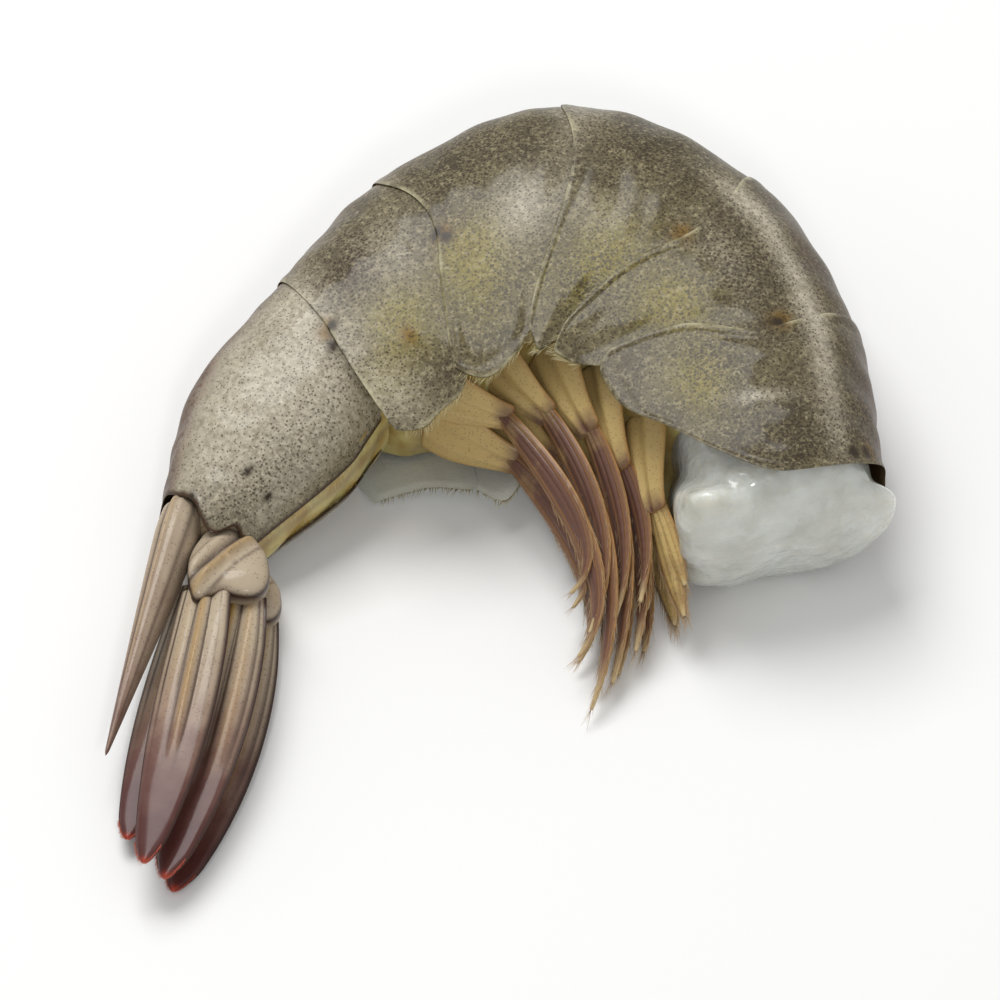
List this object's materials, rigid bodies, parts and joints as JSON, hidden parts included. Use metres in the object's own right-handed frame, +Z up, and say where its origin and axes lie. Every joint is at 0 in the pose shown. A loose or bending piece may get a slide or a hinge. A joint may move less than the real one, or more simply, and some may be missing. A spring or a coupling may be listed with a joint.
{
  "type": "raw white shrimp",
  "caption": "Raw headless shell-on white shrimp, curled on its side, with overlapping shell plates, folded tail fan, swimmerets and a pale cut end of flesh.",
  "frame": {"origin": "middle of the overall box, at the floor that it lies on", "axes": "+Z up from the floor; +X towards the cut end's side; +Y towards the outside of the curl, so the tail fan points to -Y"},
  "size_m": [0.0546, 0.0636, 0.0159],
  "materials": {
    "flesh": "wet raw flesh",
    "shell": "wet translucent shell",
    "tail": "wet translucent shell",
    "swimmeret": "damp, fringed with hair"
  },
  "bodies": {
    "root": {"flesh": "flesh", "shell_1": "shell", "shell_2": "shell", "shell_3": "shell", "shell_4": "shell", "shell_5": "shell", "shell_6": "shell", "telson": "tail", "uropod_inner_upper": "tail", "uropod_outer_upper": "tail", "uropod_inner_lower": "tail", "uropod_outer_lower": "tail", "stalk_upper": "tail", "stalk_lower": "tail", "swimmeret_1_upper": "swimmeret", "swimmeret_2_upper": "swimmeret", "swimmeret_3_upper": "swimmeret", "swimmeret_4_upper": "swimmeret", "swimmeret_5_upper": "swimmeret", "swimmeret_1_lower": "swimmeret", "swimmeret_2_lower": "swimmeret", "swimmeret_3_lower": "swimmeret", "swimmeret_4_lower": "swimmeret", "swimmeret_5_lower": "swimmeret"}
  },
  "joints": []
}
